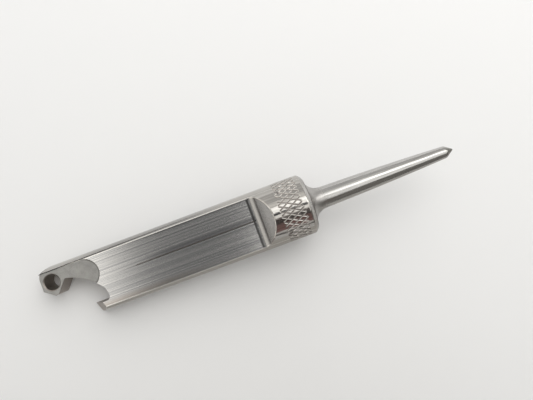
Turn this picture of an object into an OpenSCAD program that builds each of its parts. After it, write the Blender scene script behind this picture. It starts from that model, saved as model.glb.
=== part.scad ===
// Steel hand tool with a lanyard eye, an opener hook, a milled blade, a knurled collar and a spike.
// Frame: +X runs along the bar to the spike's tip, +Z out of the blade's upper flat.
// The origin is under the middle of the tool's length, at the height of the collar's lowest line.
// Every module draws in bar coordinates (x from the eye's end, y and z from the bar's axis),
// and in_frame() moves it to the part's frame.

/* [Bar] */
// Diameter of the round bar that the handle is cut from
bar_d = 12.7; // [12:0.1:14]
// Length of the handle, from the eye's end to the collar's front face
handle_l = 56.5; // [55:0.1:60]
// Width of the chamfer round the collar's front rim
rim_chamfer = 0.7; // [0.3:0.1:1]

/* [Blade] */
// Height of the upper flat above the bar's axis
upper_flat_z = 3.5; // [3.2:0.1:4]
// Depth of the lower flat below the bar's axis
lower_flat_z = 0.9; // [0.6:0.1:1.5]
// Distance from the eye's end to where the shoulder's slope meets the collar
shoulder_x = 48.6; // [47:0.1:49]
// Slope of the shoulder
shoulder_angle = 45; // [40:1:50]
// Radius of the fillet between a flat and the shoulder
shoulder_fillet_r = 2.2; // [1.5:0.1:2.5]

/* [Lanyard eye] */
// Diameter of the lanyard hole
eye_d = 3.2; // [2.8:0.1:3.4]
// Distance of the hole's axis from the eye's end
eye_x = 2.25; // [2.1:0.05:2.4]
// Distance of the hole's axis from the bar's axis
eye_y = 3.1; // [3:0.05:3.2]
// Width of the chamfer at each mouth of the hole
eye_chamfer = 0.2; // [0.1:0.05:0.25]
// Radius of the eye's outer corner
eye_corner_r = 2.3; // [2:0.1:2.6]
// Depth of the recess round the eye
recess_depth = 0.3; // [0.2:0.1:0.6]
// Radius of the recess's round inner end
recess_r = 3.05; // [2.7:0.05:3.1]
// Distance from the eye's end to the centre of that round end
recess_x = 9.1; // [8:0.05:10]
// Distance of the centre of the round end from the bar's axis
recess_y = 2.35; // [2.2:0.05:2.5]

/* [Opener notch] */
// Radius of the notch's long curve
notch_r = 12; // [11:0.1:13]
// Radius of the notch's corner, at its deepest point
notch_corner_r = 3.3; // [3:0.1:3.6]
// Radius of the notch's heel, where it turns back along the tooth
notch_heel_r = 0.8; // [0.5:0.1:1.2]
// Distance from the eye's end to the notch's deepest point
notch_x = 12.35; // [12:0.05:12.6]
// Radius of the fillet between the eye and the notch's long curve
notch_fillet_r = 0.4; // [0.3:0.05:0.5]
// Distance from the eye's end to the middle of that fillet
notch_fillet_x = 5.1; // [5:0.05:5.3]
// Distance of the tooth's inner side from the bar's axis
tooth_y = 4.15; // [4:0.05:4.4]
// Distance from the eye's end to the tooth's tip, at the lower flat
tooth_x = 7.25; // [7:0.05:8]
// Distance from the eye's end to the top of the tooth's bevel, at the upper flat
tooth_top_x = 10.4; // [9.5:0.1:10.8]
// How far the tooth's end is turned, seen from above
tooth_skew = 20; // [10:1:30]

/* [Spike] */
// Length that stands out of the handle
spike_l = 31.9; // [28:0.1:35]
// Radius of the flare's concave curve
flare_r = 3; // [2.5:0.1:3.2]
// Thickness of the flare's rim, where it seats on the handle
root_rim = 0.15; // [0.1:0.05:0.3]
// Diameter at the end of the flare
spike_d = 4.6; // [4.2:0.1:4.8]
// Diameter at the shoulder of the point
point_d = 2.65; // [2.2:0.05:3]
// How far the taper bulges out of a straight line
taper_crown = 0.12; // [0:0.01:0.15]
// Half of the point's cone angle
point_angle = 34; // [30:1:45]
// Radius of the rounded shoulder of the point
point_round = 1.2; // [0.5:0.1:2]
// Radius of the blunt tip
tip_r = 0.25; // [0.15:0.05:0.3]

/* [Socket] */
// Diameter of the spike's shank and of the socket that holds it
shank_d = 5; // [4:0.1:6]
// Length of the shank
shank_l = 10; // [8:0.5:12]
// Air left between the shank's end and the socket's bottom
socket_gap = 0.8; // [0.5:0.1:1.5]
// Chamfer on the shank's end and at the socket's mouth
shank_chamfer = 0.4; // [0.2:0.1:0.6]

/* [Hidden] */
$fn = 96;
bar_r = bar_d / 2;
total_l = handle_l + spike_l;
past = 1;
arc_step = 6;

// Centres of the notch's three curves, each inside the next larger one and touching it
blend_angle = 40;
heel_angle = -5;
heel_x = notch_x - notch_corner_r + (notch_corner_r - notch_heel_r) * cos(heel_angle);
heel_y = notch_heel_r - tooth_y;
corner_x = notch_x - notch_corner_r;
corner_y = heel_y - (notch_corner_r - notch_heel_r) * sin(heel_angle);
long_x = corner_x - (notch_r - notch_corner_r) * cos(blend_angle);
long_y = corner_y - (notch_r - notch_corner_r) * sin(blend_angle);

// Fillet that touches the long curve from inside, at the notch's inner end
root_angle = acos((notch_fillet_x - long_x) / (notch_r - notch_fillet_r));
root_y = long_y + (notch_r - notch_fillet_r) * sin(root_angle);

// The eye's lower side: a sloped heel, a short floor, and a rounded toe next to the notch
eye_heel_x = 2.1;
eye_heel_y = 1.85;
eye_floor_y = 0.3;
eye_toe_x = 2.4;
eye_toe_r = 0.7;
toe_y = eye_floor_y + eye_toe_r;

// Direction of the straight side between the toe and the notch's fillet, which touches both
toe_to_root = [notch_fillet_x - eye_toe_x, root_y - toe_y];
side_angle = atan2(toe_to_root.y, toe_to_root.x) + asin((eye_toe_r + notch_fillet_r) / norm(toe_to_root));

// Points along a circle's arc, from angle a0 to angle a1
function arc(cx, cy, r, a0, a1) =
    let (n = max(2, ceil(abs(a1 - a0) / arc_step)))
    [for (i = [0 : n]) let (a = a0 + (a1 - a0) * i / n) [cx + r * cos(a), cy + r * sin(a)]];

// Radius of the spike at a share t of the way along its taper
function taper_radius(t) = spike_d / 2 + (point_d - spike_d) / 2 * t + 4 * taper_crown * t * (1 - t);

module in_frame() {
    translate([-total_l / 2, 0, bar_r]) children();
}

// The round bar, lying along X, with its front rim chamfered
module bar() {
    rotate([0, 90, 0])
    rotate_extrude()
    polygon([
        [0, 0],
        [bar_r, 0],
        [bar_r, handle_l - rim_chamfer],
        [bar_r - rim_chamfer, handle_l],
        [0, handle_l]
    ]);
}

// Side view of what is milled off above a flat at height z: flat, fillet, then the shoulder's slope
module milled_side(z) {
    slope_z = z + shoulder_fillet_r * (1 - cos(shoulder_angle));
    slope_x = shoulder_x - (bar_r - slope_z) / tan(shoulder_angle);
    fillet_x = slope_x - shoulder_fillet_r * sin(shoulder_angle);
    polygon(concat(
        [[-past, bar_r + past], [-past, z]],
        arc(fillet_x, z + shoulder_fillet_r, shoulder_fillet_r, -90, shoulder_angle - 90),
        [[shoulder_x + past / tan(shoulder_angle), bar_r + past]]
    ));
}

module milled_off(z) {
    rotate([90, 0, 0])
    linear_extrude(height = bar_d + 2 * past, center = true)
    milled_side(z);
}

// Plan of the hook end: everything that stays of the bar from its end to past the notch
module hook_plan() {
    polygon(concat(
        [[notch_x + past, bar_r]],
        arc(eye_corner_r, bar_r - eye_corner_r, eye_corner_r, 90, 180),
        [[0, eye_heel_y], [eye_heel_x, eye_floor_y]],
        arc(eye_toe_x, toe_y, eye_toe_r, -90, side_angle - 90),
        arc(notch_fillet_x, root_y, notch_fillet_r, side_angle + 90, root_angle),
        arc(long_x, long_y, notch_r, root_angle, blend_angle),
        arc(corner_x, corner_y, notch_corner_r, blend_angle, heel_angle),
        arc(heel_x, heel_y, notch_heel_r, heel_angle, -90),
        [[tooth_x, -tooth_y], [tooth_x, -bar_r], [notch_x + past, -bar_r]]
    ));
}

// What is cut away round the eye and inside the notch
module hook_cut() {
    linear_extrude(height = bar_d + 2 * past, center = true)
    difference() {
        translate([-past, -bar_r - past]) square([notch_x + past, bar_d + 2 * past]);
        hook_plan();
    }
}

// Shallow recess milled in from the eye's end and its outer side, with a round inner end
module recess() {
    translate([0, 0, upper_flat_z - recess_depth])
    linear_extrude(height = bar_r) {
        translate([recess_x, recess_y]) circle(r = recess_r);
        translate([-past, recess_y - recess_r]) square([recess_x + past, bar_d]);
    }
}

// Lanyard hole, chamfered at both mouths
module eye_hole() {
    top_z = upper_flat_z - recess_depth;
    translate([eye_x, eye_y, 0]) {
        translate([0, 0, -bar_r]) cylinder(d = eye_d, h = bar_d);
        translate([0, 0, top_z - eye_chamfer])
        cylinder(r1 = eye_d / 2, r2 = eye_d / 2 + eye_chamfer + past, h = eye_chamfer + past);
        translate([0, 0, -lower_flat_z - past])
        cylinder(r1 = eye_d / 2 + eye_chamfer + past, r2 = eye_d / 2, h = eye_chamfer + past);
    }
}

// Bevel that slopes down to the tooth's tip, turned so that the tooth's inner side reaches furthest
module tooth_bevel() {
    thickness = upper_flat_z + lower_flat_z;
    run = tooth_top_x - tooth_x;
    translate([tooth_x, -tooth_y, -lower_flat_z])
    rotate([90, 0, tooth_skew])
    linear_extrude(height = bar_r)
    polygon([
        [-bar_r, -past],
        [-run * past / thickness, -past],
        [run * (thickness + past) / thickness, thickness + past],
        [-bar_r, thickness + past]
    ]);
}

// Blind socket in the front face
module socket() {
    translate([handle_l, 0, 0]) rotate([0, -90, 0]) {
        cylinder(d = shank_d, h = shank_l + socket_gap);
        translate([0, 0, -past])
        cylinder(d1 = shank_d + 2 * (shank_chamfer + past), d2 = shank_d, h = shank_chamfer + past);
    }
}

module handle() {
    color("silver") in_frame()
    difference() {
        bar();
        milled_off(upper_flat_z);
        mirror([0, 0, 1]) milled_off(lower_flat_z);
        hook_cut();
        recess();
        eye_hole();
        tooth_bevel();
        socket();
    }
}

// Half section of the spike, [radius, distance from the handle's front face]
module spike_section() {
    root_r = spike_d / 2 + flare_r;
    taper_x = root_rim + flare_r;
    cone_drop = point_d / 2 - point_round * (1 - cos(point_angle)) - tip_r * cos(point_angle);
    cone_l = point_round * sin(point_angle) + cone_drop / tan(point_angle);
    cone_x = spike_l - tip_r * (1 - sin(point_angle)) - cone_l;
    taper_l = cone_x - taper_x;
    steps = 8;
    polygon(concat(
        [[0, -shank_l], [shank_d / 2 - shank_chamfer, -shank_l], [shank_d / 2, shank_chamfer - shank_l]],
        [[shank_d / 2, 0], [root_r, 0]],
        arc(root_r, taper_x, flare_r, -90, -180),
        [for (i = [1 : steps - 1]) [taper_radius(i / steps), taper_x + taper_l * i / steps]],
        arc(point_d / 2 - point_round, cone_x, point_round, 0, point_angle),
        arc(0, spike_l - tip_r, tip_r, point_angle, 90)
    ));
}

module spike() {
    color("gainsboro") in_frame()
    translate([handle_l, 0, 0]) rotate([0, 90, 0])
    rotate_extrude() spike_section();
}

handle();
spike();
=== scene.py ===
import math

import bpy
from mathutils import Matrix, Vector


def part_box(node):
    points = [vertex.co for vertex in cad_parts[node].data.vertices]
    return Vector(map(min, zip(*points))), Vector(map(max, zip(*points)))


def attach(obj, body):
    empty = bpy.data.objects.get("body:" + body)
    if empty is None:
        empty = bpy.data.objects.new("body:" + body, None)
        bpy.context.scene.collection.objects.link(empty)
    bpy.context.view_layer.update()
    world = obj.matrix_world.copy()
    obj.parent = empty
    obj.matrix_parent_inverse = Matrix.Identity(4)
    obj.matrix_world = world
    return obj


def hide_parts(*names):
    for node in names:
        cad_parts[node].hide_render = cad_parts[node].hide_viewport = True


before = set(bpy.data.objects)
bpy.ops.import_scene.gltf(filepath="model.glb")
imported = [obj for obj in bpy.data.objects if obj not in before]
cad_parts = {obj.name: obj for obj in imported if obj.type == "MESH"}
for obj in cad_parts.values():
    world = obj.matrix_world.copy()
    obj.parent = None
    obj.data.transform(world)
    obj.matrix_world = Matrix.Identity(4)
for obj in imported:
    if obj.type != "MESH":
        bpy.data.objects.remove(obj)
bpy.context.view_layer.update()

# ---- The bar --------------------------------------------------------------------------------------
# The handle is one length of round stainless bar, 12.7 mm across. Everything on it is cut from that
# bar, so it starts as a plain round. Its front rim is chamfered on the lathe.
MM = 0.001
handle_low, handle_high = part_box("handle")
eye_end = handle_low.x
front_face = handle_high.x
bar_radius = (handle_high.y - handle_low.y) / 2
bar_axis = handle_low.z + bar_radius
bar_sides = 72
bar_turn = math.radians(0.65)
rim_chamfer = 0.7 * MM
tiny = 0.005 * MM
along_bar = (0, math.pi / 2, 0)


def at(x, y, z):
    """A point in the frame, from millimetres along the bar, across it and above its axis."""
    return Vector((eye_end + x * MM, y * MM, bar_axis + z * MM))


def off_axis(point):
    return math.hypot(point.y, point.z - bar_axis)


def edit(piece):
    """Opens a piece alone in edit mode with nothing selected."""
    if bpy.context.object and bpy.context.object.mode == "EDIT":
        bpy.ops.object.mode_set(mode="OBJECT")
    bpy.ops.object.select_all(action="DESELECT")
    bpy.context.view_layer.objects.active = piece
    piece.select_set(True)
    bpy.ops.object.mode_set(mode="EDIT")
    bpy.ops.mesh.select_all(action="DESELECT")


def select(piece, kind, wanted):
    """Selects the vertices, edges or faces of a piece for which wanted() is true."""
    edit(piece)
    bpy.ops.mesh.select_mode(type=kind)
    bpy.ops.object.mode_set(mode="OBJECT")
    mesh = piece.data
    items = {"VERT": mesh.vertices, "EDGE": mesh.edges, "FACE": mesh.polygons}[kind]
    for item in items:
        item.select = wanted(item)
    bpy.ops.object.mode_set(mode="EDIT")


def ends(piece, edge):
    return [piece.data.vertices[v].co for v in edge.vertices]


def bake_place(piece):
    """Puts a piece's place, turn and size into its mesh."""
    if piece.mode == "EDIT":
        bpy.ops.object.mode_set(mode="OBJECT")
    bpy.ops.object.select_all(action="DESELECT")
    bpy.context.view_layer.objects.active = piece
    piece.select_set(True)
    bpy.ops.object.transform_apply(location=True, rotation=True, scale=True)


bpy.ops.object.select_all(action="DESELECT")
bpy.ops.mesh.primitive_cylinder_add(
    vertices=bar_sides,
    radius=bar_radius,
    depth=front_face - eye_end,
    location=((eye_end + front_face) / 2, 0, bar_axis),
    rotation=along_bar,
)
handle = bpy.context.object
handle.name = "handle_steel"
handle.rotation_euler.rotate_axis("Z", -bar_turn)
bake_place(handle)

select(handle, "EDGE", lambda e: all(p.x > front_face - 2 * tiny for p in ends(handle, e)))
bpy.ops.mesh.bevel(offset=rim_chamfer, segments=1, affect="EDGES")
bpy.ops.object.mode_set(mode="OBJECT")

# ---- The milled flats -----------------------------------------------------------------------------
# Two flats are milled along the bar and leave the blade 4.4 mm thick. Each runs out in a fillet and a
# 45 degree shoulder that rises to the round collar. Heights are from the bar's axis.
upper_flat = 3.5
lower_flat = -0.9
shoulder = 48.6
shoulder_fillet = 2.2
bar_r = bar_radius / MM
past = 1.0
fillet_setback = shoulder_fillet * math.tan(math.pi / 8)
fillet_steps = 10


def cut(piece, cutter):
    """Takes a cutter's shape out of a piece, and throws the cutter away."""
    bpy.ops.object.mode_set(mode="OBJECT")
    bpy.context.view_layer.objects.active = piece
    tool = piece.modifiers.new("cut", "BOOLEAN")
    tool.operation = "DIFFERENCE"
    tool.solver = "MANIFOLD"
    tool.object = cutter
    bpy.ops.object.modifier_apply(modifier=tool.name)
    bpy.data.objects.remove(cutter)


def block(low, high):
    """A box-shaped cutter between two corners."""
    bpy.ops.object.select_all(action="DESELECT")
    bpy.ops.mesh.primitive_cube_add(size=1, location=(low + high) / 2, scale=high - low)
    piece = bpy.context.object
    bake_place(piece)
    return piece


def mill(side, height):
    """A cutter for everything beyond a flat, with the shoulder's slope and fillet at its inner end."""
    low = at(-past, -bar_r - past, height if side > 0 else -bar_r - past)
    high = at(shoulder - bar_r + side * height, bar_r + past, bar_r + past if side > 0 else height)
    cutter = block(low, high)
    outer = high.z if side > 0 else low.z
    rise = (bar_r + past - side * height) * MM
    inner = high.x - tiny
    select(cutter, "VERT", lambda v: v.co.x > inner and abs(v.co.z - outer) < tiny)
    bpy.ops.transform.translate(value=(rise, 0, 0))
    flat = at(0, 0, height).z
    select(cutter, "VERT", lambda v: v.co.x > inner and abs(v.co.z - flat) < tiny)
    bpy.ops.mesh.select_mode(type="EDGE")
    bpy.ops.mesh.bevel(offset=fillet_setback * MM, segments=fillet_steps, affect="EDGES")
    return cutter


cut(handle, mill(1, upper_flat))
cut(handle, mill(-1, lower_flat))

# ---- The hook end ---------------------------------------------------------------------------------
# A contour cut leaves the lanyard eye on one side and the opener's tooth on the other, with a curved
# notch between them. The outline is all straight lines and arcs that touch.
eye_corner = 2.3
eye_corner_clear = 0.03
eye_corner_y = bar_r - eye_corner + eye_corner_clear
eye_heel = (2.1, 0.3)
eye_heel_rise = 1.85
eye_toe = (2.4, 1.0)
eye_toe_radius = 0.7
notch_deepest = 12.35
notch_long_radius = 12
notch_corner_radius = 3.3
notch_heel_radius = 0.8
notch_fillet_radius = 0.4
notch_fillet_along = 5.1
blend_turn = math.radians(40)
heel_turn = math.radians(-5)
tooth_side = 4.15
tooth_tip = 7.25
tooth_top = 10.4
tooth_skew = math.radians(20)
arc_step = math.radians(6)
fewest_steps = 3
weld = 0.001 * MM


class Pen:
    """Draws a closed flat outline with extrude and spin, then gives it a height as a cutter."""

    def __init__(self, x, y, level):
        self.level = level
        bpy.ops.object.select_all(action="DESELECT")
        bpy.ops.mesh.primitive_plane_add(size=MM, location=(0, 0, 0))
        self.piece = bpy.context.object
        bpy.ops.object.mode_set(mode="EDIT")
        bpy.ops.mesh.select_mode(type="VERT")
        bpy.ops.mesh.select_all(action="SELECT")
        bpy.ops.mesh.merge(type="CENTER")
        self.place = at(x, y, level)
        bpy.ops.transform.translate(value=self.place)

    def line(self, x, y):
        step = at(x, y, self.level) - self.place
        bpy.ops.mesh.extrude_region_move(TRANSFORM_OT_translate={"value": step})
        self.place = self.place + step

    def arc(self, x, y, turn):
        centre = at(x, y, self.level)
        steps = max(fewest_steps, math.ceil(abs(turn) / arc_step))
        bpy.ops.mesh.spin(steps=steps, angle=-turn, center=centre, axis=(0, 0, 1))
        self.place = centre + Matrix.Rotation(turn, 3, "Z") @ (self.place - centre)

    def close(self, height):
        bpy.ops.mesh.select_all(action="SELECT")
        bpy.ops.mesh.remove_doubles(threshold=weld)
        bpy.ops.mesh.edge_face_add()
        bpy.ops.mesh.extrude_region_move(TRANSFORM_OT_translate={"value": (0, 0, height * MM)})
        bpy.ops.mesh.select_all(action="SELECT")
        bpy.ops.mesh.normals_make_consistent(inside=False)
        bpy.ops.object.mode_set(mode="OBJECT")
        return self.piece


heel_reach = notch_corner_radius - notch_heel_radius
corner_reach = notch_long_radius - notch_corner_radius
corner_x = notch_deepest - notch_corner_radius
heel = Vector((corner_x + heel_reach * math.cos(heel_turn), notch_heel_radius - tooth_side))
corner = Vector((corner_x, heel.y - heel_reach * math.sin(heel_turn)))
long_curve = corner - corner_reach * Vector((math.cos(blend_turn), math.sin(blend_turn)))
fillet_reach = notch_long_radius - notch_fillet_radius
fillet_turn = math.acos((notch_fillet_along - long_curve.x) / fillet_reach)
fillet = Vector((notch_fillet_along, long_curve.y + fillet_reach * math.sin(fillet_turn)))
toe_to_fillet = fillet - Vector(eye_toe)
side_turn = math.atan2(toe_to_fillet.y, toe_to_fillet.x)
side_turn += math.asin((eye_toe_radius + notch_fillet_radius) / toe_to_fillet.length)
toe_point = Vector(eye_toe) + eye_toe_radius * Vector((math.sin(side_turn), -math.cos(side_turn)))

pen = Pen(tooth_tip, -bar_r - past, -bar_r - past)
pen.line(tooth_tip, -tooth_side)
pen.line(heel.x, -tooth_side)
pen.arc(heel.x, heel.y, heel_turn + math.pi / 2)
pen.arc(corner.x, corner.y, blend_turn - heel_turn)
pen.arc(long_curve.x, long_curve.y, fillet_turn - blend_turn)
pen.arc(fillet.x, fillet.y, side_turn + math.pi / 2 - fillet_turn)
pen.line(toe_point.x, toe_point.y)
pen.arc(*eye_toe, -side_turn)
pen.line(*eye_heel)
pen.line(0, eye_heel_rise)
pen.line(0, eye_corner_y)
pen.arc(eye_corner, eye_corner_y, -math.pi / 2)
pen.line(eye_corner, bar_r + past)
pen.line(-past, bar_r + past)
pen.line(-past, -bar_r - past)
cut(handle, pen.close(2 * (bar_r + past)))

# The tooth's end is bevelled from above, so that its lip is on the underside.
bevel_rise = math.atan2(upper_flat - lower_flat, tooth_top - tooth_tip)
bevel_size = 4 * bar_r
bevel = block(
    at(tooth_tip - bevel_size, -tooth_side - bevel_size, lower_flat - bevel_size),
    at(tooth_tip, -tooth_side, lower_flat + bevel_size),
)
edit(bevel)
bpy.ops.mesh.select_all(action="SELECT")
tip = at(tooth_tip, -tooth_side, lower_flat)
bpy.ops.transform.rotate(value=bevel_rise - math.pi / 2, orient_axis="Y", center_override=tip)
bpy.ops.transform.rotate(value=-tooth_skew, orient_axis="Z", center_override=tip)
cut(handle, bevel)

# The recess round the eye is milled a little deeper, from the end to a round inner end.
recess_floor = 3.2
recess_round = (9.1, 2.35)
recess_radius = 3.05
pen = Pen(-past, recess_round[1] - recess_radius, recess_floor)
pen.line(recess_round[0], recess_round[1] - recess_radius)
pen.arc(*recess_round, math.pi)
pen.line(recess_round[0], bar_r + past)
pen.line(-past, bar_r + past)
pen.line(-past, recess_round[1] - recess_radius)
cut(handle, pen.close(bar_r))

# ---- The broken edges -----------------------------------------------------------------------------
# Every edge is broken by hand after milling: widest round the end of the eye, finer along the flats, and
# just taken off everywhere else.
edge_of = {"others": 0.05, "flats": 0.15, "eye": 0.2}
edge_widest = max(edge_of.values())
shortest_flat_edge = 0.3
eye_edge_end = 1
grazing_from = 6
grazing_past = 0.3
run_out_from = 5.1
run_out_step = 0.5
run_out_reach = 4
sharp_turn = math.radians(28)


def sharp_edges(piece, wanted):
    """Selects the sharp edges for whose two ends wanted() is true."""
    edit(piece)
    bpy.ops.mesh.select_mode(type="EDGE")
    bpy.ops.mesh.edges_select_sharp(sharpness=sharp_turn)
    bpy.ops.object.mode_set(mode="OBJECT")
    for edge in piece.data.edges:
        edge.select = edge.select and wanted(*ends(piece, edge))
    for face in piece.data.polygons:
        face.select = False
    bpy.ops.object.mode_set(mode="EDIT")


def on_round(p):
    return off_axis(p) > bar_radius - 4 * tiny


def on_recess_floor(p):
    return abs(p.z - at(0, 0, recess_floor).z) < 2 * tiny


def round_eye(p):
    return on_recess_floor(p) and p.x < at(eye_edge_end, 0, 0).x and p.y > 0


def grazing(a, b):
    """True where the eye's corner runs out into the bar's widest line."""
    return min(a.y, b.y) > grazing_from * MM and max(a.x, b.x) < at(eye_corner + grazing_past, 0, 0).x


def in_corner(a, b):
    """True in the recess's inner corners, which stay as the cutter leaves them."""
    middle = at(*recess_round, recess_floor).xy
    off_outline = [abs((p.xy - middle).length - recess_radius * MM) for p in (a, b)]
    upright = (a.xy - b.xy).length < 2 * tiny and on_recess_floor(min(a, b, key=lambda p: p.z))
    outline = on_recess_floor(a) and on_recess_floor(b) and max(off_outline) < 4 * tiny
    short = (a - b).length < run_out_step * MM and (a.xy - middle).length < run_out_reach * MM
    return upright or outline or (short and min(a.y, b.y) > run_out_from * MM)


edit(handle)
bpy.ops.mesh.select_all(action="SELECT")
bpy.ops.mesh.remove_doubles(threshold=2 * weld)
edge_sets = {
    "others": lambda a, b: not grazing(a, b) and not in_corner(a, b),
    "flats": lambda a, b: (
        on_round(a)
        and on_round(b)
        and (a - b).length > shortest_flat_edge * MM
        and not (grazing(a, b) or in_corner(a, b) or on_recess_floor(a))
    ),
    "eye": lambda a, b: round_eye(a) and round_eye(b),
}
for name, wanted in edge_sets.items():
    sharp_edges(handle, wanted)
    bpy.ops.transform.edge_bevelweight(value=-1)
    bpy.ops.transform.edge_bevelweight(value=edge_of[name] / edge_widest)
bpy.ops.object.mode_set(mode="OBJECT")
broken = handle.modifiers.new("broken_edges", "BEVEL")
broken.limit_method = "WEIGHT"
broken.width = edge_widest * MM
broken.segments = 3
broken.use_clamp_overlap = False
bpy.ops.object.modifier_apply(modifier=broken.name)

# ---- The drilled holes ----------------------------------------------------------------------------
# The lanyard hole goes straight through the eye, and its two mouths are countersunk a little. A blind
# hole in the front face takes the spike's shank.
eye = (2.25, 3.1)
eye_radius = 1.6
eye_chamfer = 0.2
hole_sides = 64
shank_radius = 2.5
socket_depth = 10.8
socket_chamfer = 0.4


def drill(place, radius, depth, turned=(0, 0, 0)):
    bpy.ops.object.select_all(action="DESELECT")
    bpy.ops.mesh.primitive_cylinder_add(
        vertices=hole_sides, radius=radius * MM, depth=depth * MM, location=place, rotation=turned
    )
    bake_place(bpy.context.object)
    return bpy.context.object


def countersink(place, radius, chamfer, turned=(0, 0, 0)):
    """A 45 degree cone that opens a hole's mouth along its own +Z."""
    reach = radius + chamfer
    bpy.ops.object.select_all(action="DESELECT")
    bpy.ops.mesh.primitive_cone_add(
        vertices=hole_sides,
        radius1=0,
        radius2=2 * reach * MM,
        depth=2 * reach * MM,
        location=place,
        rotation=turned,
    )
    bake_place(bpy.context.object)
    return bpy.context.object


cut(handle, drill(at(*eye, 0), eye_radius, 4 * bar_r))
cut(handle, countersink(at(*eye, recess_floor), eye_radius, eye_chamfer))
cut(handle, countersink(at(*eye, lower_flat), eye_radius, eye_chamfer, (math.pi, 0, 0)))
front = Vector((front_face, 0, bar_axis))
cut(handle, drill(front, shank_radius, 2 * socket_depth, along_bar))
cut(handle, countersink(front, shank_radius, socket_chamfer, along_bar))

# ---- The line between two passes ------------------------------------------------------------------
# Where two passes of the mill meet, a fine V-shaped line is left along the upper flat. It is cut with
# a square bar on its edge, and stops short of the hook end.
pass_line_y = 0.45
pass_line_deep = 0.07
pass_line_size = 0.2
pass_line_start = 19.5
pass_line_end = 44.7
bpy.ops.mesh.primitive_cylinder_add(
    vertices=4,
    radius=pass_line_size * MM,
    depth=(pass_line_end - pass_line_start) * MM,
    location=at(
        (pass_line_start + pass_line_end) / 2, pass_line_y, upper_flat + pass_line_size - pass_line_deep
    ),
    rotation=along_bar,
)
bake_place(bpy.context.object)
cut(handle, bpy.context.object)

# A ring of edges on each side of the fillets keeps their curve out of the flats' shading.
flat_end = shoulder - bar_r + upper_flat - fillet_setback
ring_gap = 0.03
smooth_turn = math.radians(7)
strips_from = flat_end - 5
strip_leans = (0.02, 0.7)


def ring(piece, place, normal):
    edit(piece)
    bpy.ops.mesh.select_all(action="SELECT")
    bpy.ops.mesh.bisect(plane_co=place, plane_no=normal, threshold=weld)


for side, height in ((1, upper_flat), (-1, lower_flat)):
    shoulder_foot = shoulder - bar_r + side * height
    ring(handle, at(shoulder_foot - fillet_setback - ring_gap, 0, 0), (1, 0, 0))
    rise = (fillet_setback + ring_gap) * math.sin(math.pi / 4)
    ring(handle, at(shoulder_foot + rise, 0, height + side * rise), (1, 0, side))
bpy.ops.object.mode_set(mode="OBJECT")
bpy.ops.object.shade_smooth_by_angle(angle=smooth_turn)


def in_fillet_strip(face):
    """True for the fillets' long strips, which are so narrow that each is shaded flat."""
    across = abs(face.normal.y) < 0.01 and strip_leans[0] < -face.normal.x < strip_leans[1]
    return across and face.center.x > at(strips_from, 0, 0).x


select(handle, "FACE", in_fillet_strip)
bpy.ops.mesh.faces_shade_flat()
bpy.ops.object.mode_set(mode="OBJECT")

# ---- The knurl ------------------------------------------------------------------------------------
# A diamond knurl is rolled into the collar: 36 flat-topped diamonds round the bar, with two families of
# grooves about 30 degrees off its length. The rolls fade out at both ends, a little unevenly.
knurl_low = 49.93
knurl_high = 54.93
knurl_rows = 4
knurl_cuts = 12
knurl_turn = math.radians(10)
knurl_along = 2.0
knurl_crossing = 50.93
groove_deep = 0.11
groove_half = 0.16
groove_flat = 0.02
roll_fade = 0.16
roll_uneven = 0.1
start_waves = (5, 11)
stop_waves = (7, 13)
knurl_pitch = 1 / math.hypot(1 / (bar_r * knurl_turn), 1 / knurl_along)
round_in = 0.6
skin_deep = 0.1


def ease(value):
    value = min(max(value, 0), 1)
    return value * value * (3 - 2 * value)


def groove(turn, x):
    """Depth in mm at a turn round the bar and a distance along it."""
    deepest = 0
    for family in (-1, 1):
        phase = turn / knurl_turn + family * (x - knurl_crossing) / knurl_along
        off = abs(phase - round(phase)) * knurl_pitch
        deepest = max(deepest, ease((groove_half - off) / (groove_half - groove_flat)))
    start_wave = math.sin(start_waves[0] * turn) * math.cos(start_waves[1] * turn + 1)
    stop_wave = math.cos(stop_waves[0] * turn) * math.sin(stop_waves[1] * turn)
    start = knurl_low + roll_uneven * (1 + start_wave)
    stop = knurl_high - roll_uneven * (1 + stop_wave)
    return groove_deep * deepest * ease((x - start) / roll_fade) * ease((stop - x) / roll_fade)


for x in (knurl_low, knurl_high):
    ring(handle, at(x, 0, 0), (1, 0, 0))


def in_band(p):
    within = at(knurl_low, 0, 0).x - tiny < p.x < at(knurl_high, 0, 0).x + tiny
    return within and off_axis(p) > bar_radius / 2


def runs_along(edge):
    a, b = ends(handle, edge)
    return in_band(a) and in_band(b) and abs(a.x - b.x) > MM


select(handle, "EDGE", runs_along)
bpy.ops.mesh.subdivide(number_cuts=knurl_rows)
select(handle, "FACE", lambda f: all(in_band(handle.data.vertices[v].co) for v in f.vertices))
bpy.ops.mesh.subdivide(number_cuts=knurl_cuts)
bpy.ops.object.mode_set(mode="OBJECT")
for vertex in handle.data.vertices:
    p = vertex.co
    if in_band(p) and off_axis(p) > bar_radius - skin_deep * MM:
        turn = math.atan2(p.y, p.z - bar_axis)
        x = (p.x - eye_end) / MM
        rounding = ease((x - knurl_low) / round_in) * ease((knurl_high - x) / round_in)
        radius = off_axis(p) + (bar_radius - off_axis(p)) * rounding - groove(turn, x) * MM
        p.y = radius * math.sin(turn)
        p.z = bar_axis + radius * math.cos(turn)

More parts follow.
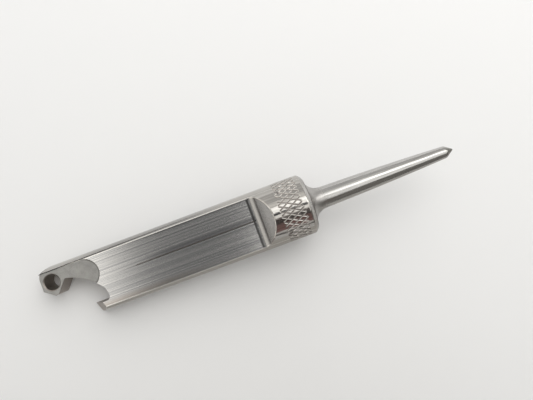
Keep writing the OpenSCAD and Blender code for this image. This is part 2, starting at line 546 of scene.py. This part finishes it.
# ---- The handle's finish --------------------------------------------------------------------------
# The handle is bare stainless steel. Its flats keep the mill's and the belt's long scratches, the recess
# and the walls are a dull bead-blasted grey, and the round collar is polished in the lathe.
brushed_dark = (0.44, 0.44, 0.445, 1)
brushed_light = (0.76, 0.75, 0.735, 1)
recess_dark = (0.27, 0.266, 0.257, 1)
recess_light = (0.37, 0.366, 0.353, 1)
# A painted shade along the recess's round inner end:
recess_rim_shade = (0.1, 0.095, 0.09, 1)
# The walls' warm brown is a painted reflection:
wall_dark = (0.3, 0.27, 0.245, 1)
wall_light = (0.4, 0.365, 0.335, 1)
risen_dark = (0.5, 0.49, 0.475, 1)
risen_light = (0.6, 0.585, 0.565, 1)
risen_low = (0.25, 0.245, 0.235, 1)
# A painted shade for the fillets:
fillet_shade = (0.27, 0.262, 0.25, 1)
turned_dark = (0.44, 0.425, 0.4, 1)
turned_light = (0.54, 0.52, 0.495, 1)
# A painted shade for the turned skin's far side:
turned_shade = (0.29, 0.285, 0.275, 1)
groove_dark = (0.25, 0.22, 0.21, 1)
# A painted highlight for the broken edges:
edge_highlight_colour = (0.9, 0.88, 0.85, 1)
noise_rough = 0.55


class Value:
    """A shader socket that takes part in Python sums."""

    def __init__(self, tree, socket):
        self.tree = tree
        self.socket = socket

    def node(self, kind, settings, inputs, output=0):
        """Adds any node: settings first, then the values or links of its sockets."""
        made = self.tree.nodes.new(kind)
        for key, value in settings.items():
            setattr(made, key, value)
        for key, value in inputs.items():
            if isinstance(value, Value):
                self.tree.links.new(value.socket, made.inputs[key])
            else:
                made.inputs[key].default_value = value
        return Value(self.tree, made.outputs[output])

    def math(self, operation, *values):
        return self.node("ShaderNodeMath", {"operation": operation}, dict(enumerate(values)))

    def __add__(self, other):
        return self.math("ADD", self, other)

    def __radd__(self, other):
        return self.math("ADD", other, self)

    def __sub__(self, other):
        return self.math("SUBTRACT", self, other)

    def __rsub__(self, other):
        return self.math("SUBTRACT", other, self)

    def __mul__(self, other):
        return self.math("MULTIPLY", self, other)

    def __rmul__(self, other):
        return self.math("MULTIPLY", other, self)

    def __truediv__(self, other):
        return self.math("DIVIDE", self, other)

    def step(self, low, high):
        """0 below low, 1 above high, and a smooth change between them."""
        settings = {"interpolation_type": "SMOOTHSTEP", "clamp": True}
        return self.node("ShaderNodeMapRange", settings, {0: self, 1: low, 2: high, 3: 0.0, 4: 1.0})

    def within(self, low, high, soft):
        """1 between low and high, 0 outside them, changing over twice soft at each."""
        return self.step(low - soft, low + soft) * (1 - self.step(high - soft, high + soft))

    def mix(self, low, high):
        """A colour between two colours, by this value."""
        settings = {"data_type": "RGBA", "blend_type": "MIX"}
        return self.node("ShaderNodeMix", settings, {0: self, 6: low, 7: high}, 2)

    def noise(self, vector, scale, detail):
        inputs = {"Vector": vector, "Scale": scale, "Detail": detail, "Roughness": noise_rough}
        return self.node("ShaderNodeTexNoise", {}, inputs)


class Steel:
    """A steel material with the bar's own coordinates in millimetres."""

    def __init__(self, name):
        self.material = bpy.data.materials.new(name)
        self.material.use_nodes = True
        tree = self.material.node_tree
        self.shader = tree.nodes["Principled BSDF"]
        self.shader.inputs["Metallic"].default_value = 1.0
        self.root = Value(tree, None)
        place = self.root.node("ShaderNodeTexCoord", {}, {}, "Object")
        moved = self.root.node(
            "ShaderNodeVectorMath", {"operation": "SUBTRACT"}, {0: place, 1: (eye_end, 0, bar_axis)}
        )
        self.mm = self.root.node(
            "ShaderNodeVectorMath", {"operation": "SCALE"}, {0: moved, "Scale": 1 / MM}
        )
        self.x, self.y, self.z = (
            self.root.node("ShaderNodeSeparateXYZ", {}, {0: self.mm}, axis) for axis in range(3)
        )
        self.radius = self.root.math("SQRT", self.y * self.y + self.z * self.z)

    def stretched(self, x, y, z):
        """The coordinates with each one scaled, so that a pattern is drawn out where a scale is small."""
        return self.root.node(
            "ShaderNodeVectorMath", {"operation": "MULTIPLY"}, {0: self.mm, 1: (x, y, z)}
        )

    def finish(self, colour, roughness, height, bump):
        """Joins what varies to the shader. A height of 1 stands bump millimetres proud."""
        tree = self.material.node_tree
        tree.links.new(colour.socket, self.shader.inputs["Base Color"])
        tree.links.new(roughness.socket, self.shader.inputs["Roughness"])
        normal = self.root.node(
            "ShaderNodeBump", {}, {"Strength": 1.0, "Distance": bump * MM, "Height": height}
        )
        tree.links.new(normal.socket, self.shader.inputs["Normal"])
        return self.material


steel = Steel("machined_steel")
level_band = 0.03
level_soft = 0.02
skin_from = bar_r - 0.14
skin_to = bar_r - 0.12


def at_level(height):
    """1 on a flat at a height above the axis, 0 off it."""
    return steel.z.within(height - level_band, height + level_band, level_soft)


on_flat = at_level(upper_flat) + at_level(lower_flat)
turned = steel.radius.step(skin_from, skin_to) * (1 - on_flat)
risen = (1 - on_flat) * (1 - turned) * steel.x.step(flat_end, flat_end + 0.05)
blasted = (1 - on_flat) * (1 - turned) * (1 - risen)
in_recess = blasted * at_level(recess_floor)
walls = blasted * (1 - in_recess)

# Scratches and grain. The scratches run along the bar, so their pattern is drawn out lengthwise.
fine_drawn = (0.012, 15, 15)
middle_drawn = (0.012, 4.2, 4.2)
broad_drawn = (0.015, 1.1, 1.1)
speckle_scale = 9.0
blotch_scale = 0.7
fine = steel.root.noise(steel.stretched(*fine_drawn), 1.0, 4.0)
middle = steel.root.noise(steel.stretched(*middle_drawn), 1.0, 2.0)
broad = steel.root.noise(steel.stretched(*broad_drawn), 1.0, 2.0)
speckle = steel.root.noise(steel.mm, speckle_scale, 4.0)
blotch = steel.root.noise(steel.mm, blotch_scale, 3.0)
streak = fine * 0.5 + middle * 0.3 + broad * 0.2
grain = speckle * 0.5 + blotch * 0.5

# Painted light on the flats: a painted grey shade band and a painted dark shade line where the two passes
# meet, a painted warm reflection along the near edge by the notch, a painted dark reflection along the far
# edge, and a painted shadow at the shoulder's foot.
pass_band = (pass_line_y - 0.1, pass_line_y + 1.0)
pass_band_from = (19, 27)
pass_core = (pass_line_y - 0.12, pass_line_y + 0.1)
pass_core_from = (14, 26)
near_edge = (-5.0, -3.7)
near_edge_to = (24, 36)
far_edge = (4.9, 5.12)
far_edge_from = (17, 26)
foot = (flat_end - 0.42, flat_end)
pass_band_shade = on_flat * steel.y.within(*pass_band, 0.2) * steel.x.step(*pass_band_from)
pass_line_shade = on_flat * steel.y.within(*pass_core, 0.05) * steel.x.step(*pass_core_from)
near_warm_reflection = on_flat * (1 - steel.y.step(*near_edge)) * (1 - steel.x.step(*near_edge_to))
far_edge_shade = on_flat * steel.y.within(*far_edge, 0.1) * steel.x.step(*far_edge_from)
foot_shadow = on_flat * steel.x.within(*foot, 0.06)
brushed_and_shaded_colour = streak.step(0.39, 0.59).mix(brushed_dark, brushed_light)
for mark, strength, tint in (
    (pass_band_shade, 0.5, (0.2, 0.2, 0.21, 1)),
    (pass_line_shade, 0.95, (0.06, 0.06, 0.065, 1)),
    (near_warm_reflection, 0.6, (0.4, 0.345, 0.3, 1)),
    (far_edge_shade, 0.6, (0.08, 0.08, 0.085, 1)),
    (foot_shadow, 0.85, (0.05, 0.048, 0.045, 1)),
):
    brushed_and_shaded_colour = (mark * strength).mix(brushed_and_shaded_colour, tint)

# A painted shade darkens the recess along its round inner end, at the foot of its wall.
round_x = steel.x - recess_round[0]
round_y = steel.y - recess_round[1]
round_off = steel.root.math("SQRT", round_x * round_x + round_y * round_y)
inner_rim = (recess_radius - 0.42, recess_radius - 0.2)
inner_rim_from = (8.5, 11)
rim_shade = in_recess * round_off.step(*inner_rim) * steel.x.step(*inner_rim_from)
recess_shaded_colour = grain.step(0.35, 0.65).mix(recess_dark, recess_light)
recess_shaded_colour = (rim_shade * 0.75).mix(recess_shaded_colour, recess_rim_shade)
# The walls' warm brown tint is a painted reflection; their speckle is the steel's own tone.
wall_colour = speckle.step(0.3, 0.7).mix(wall_dark, wall_light)

# The shoulders are darker low down, and a painted shade dims the reflection in their fillets.
shoulder_low = (4.2, 5.4)
fillet_end = flat_end + fillet_setback * (1 + math.sin(math.pi / 4))
low_face = 1 - steel.z.step(*shoulder_low)
in_fillet = risen * (1 - steel.x.step(fillet_end - 0.25, fillet_end + 0.1))
risen_shaded_colour = middle.step(0.3, 0.7).mix(risen_dark, risen_light)
risen_shaded_colour = (low_face * 0.4).mix(risen_shaded_colour, risen_low)
risen_shaded_colour = (in_fillet * 0.85).mix(risen_shaded_colour, fillet_shade)

# A painted shade darkens the turned skin along the far side of the blade, and the knurl's grooves are
# darker.
shade_stretch = (12, 36)
groove_skin = (bar_r - 0.09, bar_r - 0.03)
far_side_shade = steel.y.step(0, 1) * steel.x.within(*shade_stretch, 7)
in_groove = turned * (1 - steel.radius.step(*groove_skin))
in_groove = in_groove * steel.x.within(knurl_low, knurl_high, 0.05)
turned_shaded_colour = middle.step(0.3, 0.7).mix(turned_dark, turned_light)
turned_shaded_colour = (far_side_shade * 0.8).mix(turned_shaded_colour, turned_shade)
turned_shaded_colour = (in_groove * 0.75).mix(turned_shaded_colour, groove_dark)

# The broken edges of the flat and of the eye carry a painted highlight.
edge_skin = (bar_r - 0.14, bar_r - 0.002)
flat_edge = (upper_flat - 0.1, upper_flat + 0.01)
eye_edge = (recess_floor - 0.15, recess_floor - 0.01)
eye_edge_to = (9, 11)
edge_highlight = steel.z.within(*flat_edge, level_soft)
eye_edge_highlight = steel.z.within(*eye_edge, level_soft) * (1 - steel.x.step(*eye_edge_to))
edge_highlight = (edge_highlight + eye_edge_highlight) * steel.radius.within(*edge_skin, 0.01)

colour = on_flat.mix(turned_shaded_colour, brushed_and_shaded_colour)
colour = edge_highlight.mix(colour, edge_highlight_colour)
colour = in_recess.mix(colour, recess_shaded_colour)
colour = walls.mix(colour, wall_colour)
colour = risen.mix(colour, risen_shaded_colour)

brushed_rough = 0.12 + 0.12 * fine
turned_rough = 0.09 + 0.06 * broad
blasted_rough = 0.4 + 0.12 * blotch
risen_rough = 0.24
roughness = on_flat * brushed_rough + turned * turned_rough + blasted * blasted_rough + risen * risen_rough
height = on_flat * (middle * 0.5 + broad * 0.5) + turned * middle * 0.05
height = height + blasted * speckle * 0.35 + risen * middle * 0.1
scratch_deep = 0.035
handle.data.materials.clear()
handle.data.materials.append(steel.finish(colour, roughness, height, scratch_deep))
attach(handle, "root")
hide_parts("handle")

# ---- The spike ------------------------------------------------------------------------------------
# The spike is turned from one rod: a shank that fills the socket, a root that flares out to cover the
# front face, a slim taper with a slight belly, and a short blunt point. It is polished along its length.
handle_length = (front_face - eye_end) / MM
spike_low, spike_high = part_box("spike")
tip_x = (spike_high.x - eye_end) / MM
shank_end = (spike_low.x - eye_end) / MM
shank_chamfer = 0.4
root_rim = 0.15
flare_radius = 3
spike_radius = 2.3
point_radius = 1.325
belly = 0.12
point_slope = math.radians(34)
point_round = 1.2
blunt_radius = 0.25
taper_steps = 16
spike_sides = 96

taper_start = handle_length + root_rim + flare_radius
blunt_x = tip_x - blunt_radius
cone_end = blunt_x + blunt_radius * math.sin(point_slope)
cone_drop = point_radius - point_round * (1 - math.cos(point_slope))
cone_drop -= blunt_radius * math.cos(point_slope)
cone_start = cone_end - point_round * math.sin(point_slope) - cone_drop / math.tan(point_slope)

pen = Pen(shank_end, 0, 0)
pen.line(shank_end, shank_radius - shank_chamfer)
pen.line(shank_end + shank_chamfer, shank_radius)
pen.line(handle_length, shank_radius)
pen.line(handle_length, spike_radius + flare_radius)
pen.line(handle_length + root_rim, spike_radius + flare_radius)
pen.arc(taper_start, spike_radius + flare_radius, math.pi / 2)
for step in range(1, taper_steps + 1):
    share = step / taper_steps
    radius = spike_radius + (point_radius - spike_radius) * share + 4 * belly * share * (1 - share)
    pen.line(taper_start + (cone_start - taper_start) * share, radius)
pen.arc(cone_start, point_radius - point_round, -point_slope)
pen.line(cone_end, blunt_radius * math.cos(point_slope))
pen.arc(blunt_x, 0, point_slope - math.pi / 2)
spike = pen.piece
bpy.ops.mesh.select_all(action="SELECT")
bpy.ops.mesh.spin(
    steps=spike_sides, angle=2 * math.pi, center=(0, 0, bar_axis), axis=(1, 0, 0)
)
bpy.ops.mesh.select_all(action="SELECT")
bpy.ops.mesh.remove_doubles(threshold=2 * weld)
bpy.ops.mesh.normals_make_consistent(inside=False)
bake_place(spike)
spike.name = "spike_steel"
bpy.ops.object.shade_smooth_by_angle(angle=smooth_turn)

# Its finish: polished lengthwise, satin on the flare with a dark line round its foot, and darker at
# the point.
polished_dark = (0.44, 0.432, 0.42, 1)
polished_light = (0.6, 0.59, 0.575, 1)
flare_end = (taper_start - 1.2, taper_start + 1.4)
root_line_end = (handle_length + 0.2, handle_length + 0.45)
point_from = (cone_start, cone_start + 0.9)
polish_drawn = (0.03, 7, 7)
ring_drawn = (6, 0.2, 0.2)
steel = Steel("polished_steel")
flare = 1 - steel.x.step(*flare_end)
root_line = 1 - steel.x.step(*root_line_end)
point_dark = steel.x.step(*point_from)
fine = steel.root.noise(steel.stretched(*polish_drawn), 1.0, 4.0)
ringed = steel.root.noise(steel.stretched(*ring_drawn), 1.0, 3.0)
colour = fine.step(0.3, 0.7).mix(polished_dark, polished_light)
for mark, strength, tint in (
    (flare, 0.5, (0.38, 0.365, 0.35, 1)),
    (root_line, 0.7, (0.16, 0.14, 0.13, 1)),
    (point_dark, 0.8, (0.17, 0.165, 0.145, 1)),
):
    colour = (mark * strength).mix(colour, tint)
roughness = 0.1 + 0.08 * fine + 0.22 * flare
height = fine * (1 - flare) * 0.4 + ringed * flare * 0.5
polish_deep = 0.02
spike.data.materials.clear()
spike.data.materials.append(steel.finish(colour, roughness, height, polish_deep))
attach(spike, "root")
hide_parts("spike")

# ---- The table and the room -----------------------------------------------------------------------
# The tool lies on a pale matt sheet, on the lowest line of its collar and the underside of the hook
# end, so the sheet is tilted to the bar. The spike's tip stands clear of it.
sheet_slope = math.atan2(lower_flat + bar_r, shoulder)
sheet_size = 1.6
sheet_pale = (0.83, 0.825, 0.815, 1)
matt = 0.9
bpy.ops.object.select_all(action="DESELECT")
bpy.ops.mesh.primitive_plane_add(
    size=sheet_size, location=at(shoulder, 0, -bar_r), rotation=(0, sheet_slope, 0)
)
sheet = bpy.context.object
sheet.name = "table_sheet"
bake_place(sheet)
paper = bpy.data.materials.new("pale_sheet")
paper.use_nodes = True
paper_sockets = paper.node_tree.nodes["Principled BSDF"].inputs
paper_sockets["Base Color"].default_value = sheet_pale
paper_sockets["Roughness"].default_value = matt
paper_sockets["Specular IOR Level"].default_value = 0.1
sheet.data.materials.append(paper)

# The steel sees a wide white window beyond the tool, a dark shape overhead and a dark near side. The
# sheet sees only an even pale room.
degree = math.radians(1)
world = bpy.data.worlds.new("room")
world.use_nodes = True
bpy.context.scene.world = world
room = Value(world.node_tree, None)
looking = room.node("ShaderNodeTexCoord", {}, {}, "Generated")
dx, dy, dz = (room.node("ShaderNodeSeparateXYZ", {}, {0: looking}, axis) for axis in range(3))
tilt = dy.math("ARCTAN2", dy, dz) / degree
lean = dx.math("ARCSINE", dx) / degree

# Tilt is in degrees from overhead to the far side, and lean from overhead to the spike's side.
bench_low = -66
bench_high = -14
overhead_low = -1
window_low = 9
window_high = 31
wall_high = 80
wall_foot_high = 48
black_low = -36
horizon_between = (-79, -73)
person_between = (-60, 26)
person_edge = (-2.4, -0.8)
hook_edge = (-27, -19)
spike_edge = (7, 9)
dark_edge = (7, 10)
window_end_from = (13, 22)
end_wall_to = (-62, -50)
spike_wall_low = -30
spike_bench_between = (-95, -31)
tip_side = lean.step(*person_edge)
hook_side = 1 - lean.step(*hook_edge)
spike_side = lean.step(*spike_edge)
window = tilt.within(window_low, window_high, 1.5)
window_end = window * lean.step(*window_end_from)
high_wall = tilt.within(window_high, wall_high, 3) * (1 - tip_side)
wall_foot = tilt.within(window_high, wall_foot_high, 4) * tip_side
overhead = tilt.within(overhead_low, window_low, 1)
streak_side = tilt.within(bench_high, overhead_low, 1)
near_side = tilt.within(bench_low, bench_high, 1)
near_black = tilt.within(black_low, bench_high, 6)
horizon = tilt.within(*horizon_between, 1)
dark_overhead = overhead * tip_side * (1 - lean.step(*dark_edge))
around_person = tilt.within(*person_between, 3)
person = around_person * (1 - tip_side)
hook_light = around_person * hook_side
end_wall = 1 - lean.step(*end_wall_to)
spike_wall = tilt.within(spike_wall_low, overhead_low, 2) * spike_side
spike_bench = tilt.within(*spike_bench_between, 2) * spike_side

elsewhere = (0.62, 0.615, 0.6, 1)
seen = room.node("ShaderNodeRGB", {}, {})
seen.socket.default_value = elsewhere
for mask, light in (
    (window, (2.1, 2.09, 2.06, 1)),
    (high_wall, (1.3, 1.27, 1.2, 1)),
    (wall_foot, (0.92, 0.91, 0.87, 1)),
    (overhead, (1.25, 1.23, 1.18, 1)),
    (streak_side, (1.35, 1.33, 1.29, 1)),
    (near_side, (0.23, 0.14, 0.13, 1)),
    (near_black, (0.075, 0.063, 0.06, 1)),
    (horizon, (0.08, 0.07, 0.065, 1)),
    (window_end, (2.7, 2.68, 2.62, 1)),
    (dark_overhead, (0.09, 0.09, 0.095, 1)),
    (person, (0.18, 0.18, 0.178, 1)),
    (hook_light, (1.55, 1.52, 1.45, 1)),
    (end_wall, (0.33, 0.31, 0.3, 1)),
    (spike_wall, (1.15, 1.14, 1.11, 1)),
    (spike_bench, (0.21, 0.2, 0.185, 1)),
):
    seen = mask.mix(seen, light)
even = (0.69, 0.695, 0.695, 1)
glossy = room.node("ShaderNodeLightPath", {}, {}, "Is Glossy Ray")
mixed = glossy.mix(even, seen)
world.node_tree.links.new(mixed.socket, world.node_tree.nodes["Background"].inputs["Color"])

# The steel mirrors the near half of the sheet as darker than it is, so a duller card that only
# reflections see lies just over it.
near_card_from = 9
near_card_to = 260
near_card_long = 0.5
near_card_above = 0.3
card_grey = (0.53, 0.515, 0.49, 1)
bpy.ops.mesh.primitive_plane_add(
    size=1,
    location=at(shoulder, -(near_card_from + near_card_to) / 2, near_card_above - bar_r),
    rotation=(0, sheet_slope, 0),
)
near_card = bpy.context.object
near_card.name = "near_card"
near_card.scale = (near_card_long, (near_card_to - near_card_from) * MM, 1)
bake_place(near_card)
for ray in ("camera", "diffuse", "shadow", "transmission", "volume_scatter"):
    setattr(near_card, "visible_" + ray, False)
dull = bpy.data.materials.new("dull_card")
dull.use_nodes = True
dull.node_tree.nodes["Principled BSDF"].inputs["Base Color"].default_value = card_grey
dull.node_tree.nodes["Principled BSDF"].inputs["Roughness"].default_value = matt
near_card.data.materials.append(dull)

# Whoever looks down on the tool shades the middle of the sheet a little. The steel's own view of them
# is in the room above.
shade_card_size = (0.18, 0.13)
shade_card_place = (-0.022, -0.066, 0.1)
bpy.ops.mesh.primitive_plane_add(size=1, location=shade_card_place)
shade_card = bpy.context.object
shade_card.name = "shade_card"
shade_card.scale = (*shade_card_size, 1)
bake_place(shade_card)
shade_card.visible_camera = False
shade_card.visible_glossy = False
shade_card.data.materials.append(dull)

# One large soft lamp stands beyond the hook end and gives the sheet its slope of light.
lamp_place = (0.17, 0.22, 0.25)
lamp_size = 0.42
lamp_power = 1.08
lamp_colour = (1, 0.99, 0.975)
bpy.ops.object.light_add(type="AREA", location=lamp_place)
lamp = bpy.context.object
lamp.name = "soft_lamp"
lamp.data.size = lamp_size
lamp.data.energy = lamp_power
lamp.data.color = lamp_colour
lamp.visible_glossy = False
lamp.rotation_euler = (-lamp.location).to_track_quat("-Z", "Y").to_euler()

# ---- The camera -----------------------------------------------------------------------------------
# It looks straight down on the bar from above the shoulder, turned so that the spike points up and
# to the right.
camera_turn = math.radians(-20.4)
camera_along = 48.4
camera_across = 3.59
camera_above = 83.4
camera_place = at(camera_along, camera_across, camera_above)
bpy.ops.object.camera_add(location=camera_place, rotation=(0, 0, camera_turn))
camera = bpy.context.object
camera.data.lens = 27.0
camera.data.sensor_width = 36
camera.data.clip_start = MM
bpy.context.scene.camera = camera
bpy.context.scene.view_settings.view_transform = "Standard"
